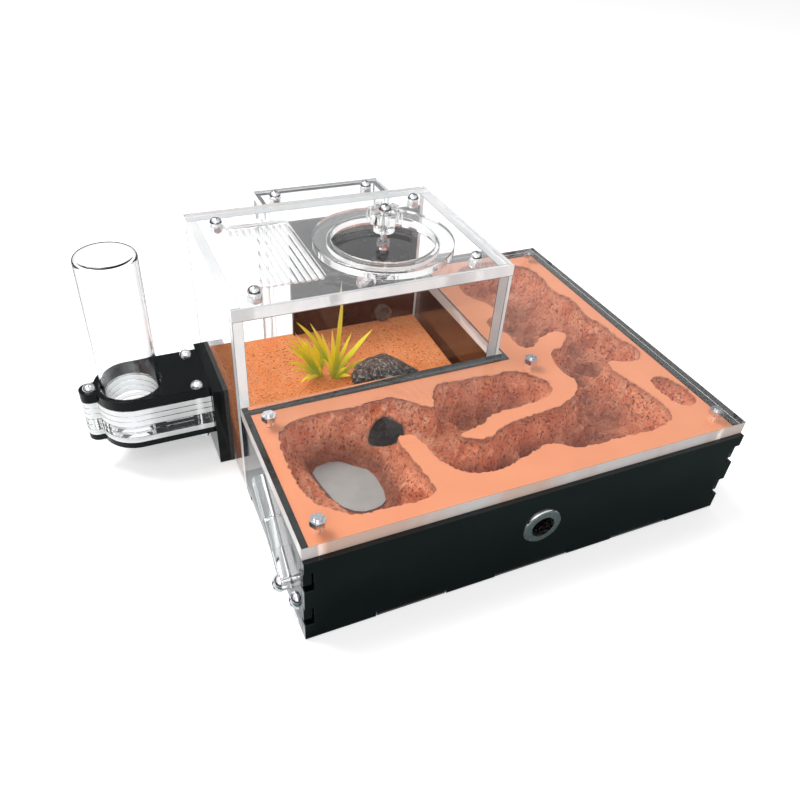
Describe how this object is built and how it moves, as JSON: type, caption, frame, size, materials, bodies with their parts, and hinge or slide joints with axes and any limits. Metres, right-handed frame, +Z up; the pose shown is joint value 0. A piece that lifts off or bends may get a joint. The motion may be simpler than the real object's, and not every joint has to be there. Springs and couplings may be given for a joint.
{
  "type": "ant habitat",
  "caption": "Ant habitat: L-shaped plaster nest in a black case under a clear cover, with a clear outworld box, rear tower and tube feeder.",
  "frame": {"origin": "on the ground, at the centre of the underside of the nest's front bar", "axes": "+X to the right along the front bar, +Y from the front wall towards the box and tower, +Z up"},
  "size_m": [0.261, 0.1936, 0.1143],
  "materials": {
    "black_acrylic": "polished black acrylic sheet",
    "clear_acrylic": "polished clear acrylic sheet",
    "clear_tube": "polished clear tube",
    "steel": "bright stainless",
    "nest_plaster": "smooth tinted plaster, roughly carved galleries",
    "base_plaster": "damp tinted plaster",
    "sand": "fine orange sand with dark specks",
    "grey_floor": "smooth grey plaster",
    "dark_plug": "satin black",
    "stone": "rough dark stone with white flecks",
    "leaf": "satin yellow-green moulded leaves",
    "foam_rubber": "matt",
    "white_plastic": "matt white"
  },
  "bodies": {
    "habitat": {"base_plate": "black_acrylic", "front_wall": "black_acrylic", "left_wall": "black_acrylic", "right_wall": "black_acrylic", "rear_wall": "black_acrylic", "inner_front_wall": "black_acrylic", "inner_side_wall": "black_acrylic", "nest_plaster_a": "nest_plaster", "nest_plaster_b": "nest_plaster", "nest_plaster_c": "nest_plaster", "nest_plaster_d": "nest_plaster", "founding_slab": "grey_floor", "nest_cover": "clear_acrylic", "cover_screws": "steel", "cover_nuts": "steel", "tube_grommet": "steel", "gate_pivot_screw": "steel", "spare_screw": "steel", "side_screw_nuts": "steel", "box_base": "clear_acrylic", "box_plaster": "base_plaster", "sand_layer": "sand", "box_front_wall": "clear_acrylic", "box_back_wall": "clear_acrylic", "box_left_wall": "clear_acrylic", "box_right_wall": "clear_acrylic", "dark_panel": "black_acrylic", "dark_plug": "dark_plug", "clear_plug": "clear_acrylic", "stone": "stone", "plant": "leaf", "tower_base": "clear_acrylic", "tower_left_wall": "clear_acrylic", "tower_right_wall": "clear_acrylic", "tower_back_wall": "clear_acrylic", "feeder_pad": "foam_rubber", "feeder_hanger": "black_acrylic", "feeder_top": "black_acrylic", "feeder_layers": "clear_acrylic", "feeder_channel": "clear_acrylic", "feeder_bottom": "black_acrylic", "strainer": "white_plastic", "feeder_screws": "steel", "feeder_nuts": "steel"},
    "top_cover": {"top_plate": "clear_acrylic", "top_screws": "steel", "top_nuts": "steel"},
    "feeding_lid": {"lid_disc": "clear_acrylic", "lid_ring": "clear_acrylic", "lid_hub": "clear_acrylic", "lid_knob": "clear_acrylic", "lid_screw": "steel", "lid_nut": "steel"},
    "tower_cap": {"tower_lid": "clear_acrylic", "tower_screws": "steel", "tower_nuts": "steel"},
    "gate": {"gate_lever": "clear_acrylic"},
    "water_tube": {"feeder_tube": "clear_tube"}
  },
  "joints": [
    {"name": "top_cover_lift", "type": "slide", "parent": "habitat", "child": "top_cover", "axis": [0, 0, 1], "range_m": [0, 0.08]},
    {"name": "lid_lift", "type": "slide", "parent": "top_cover", "child": "feeding_lid", "axis": [0, 0, 1], "range_m": [0, 0.05]},
    {"name": "tower_cap_lift", "type": "slide", "parent": "habitat", "child": "tower_cap", "axis": [0, 0, 1], "range_m": [0, 0.05]},
    {"name": "gate_swing", "type": "hinge", "parent": "habitat", "child": "gate", "pos_m": [-0.1, -0.024, 0.0143], "axis": [-1, 0, 0], "range_deg": [0, 46]},
    {"name": "tube_lift", "type": "slide", "parent": "habitat", "child": "water_tube", "axis": [0, 0, 1], "range_m": [0, 0.08]}
  ]
}
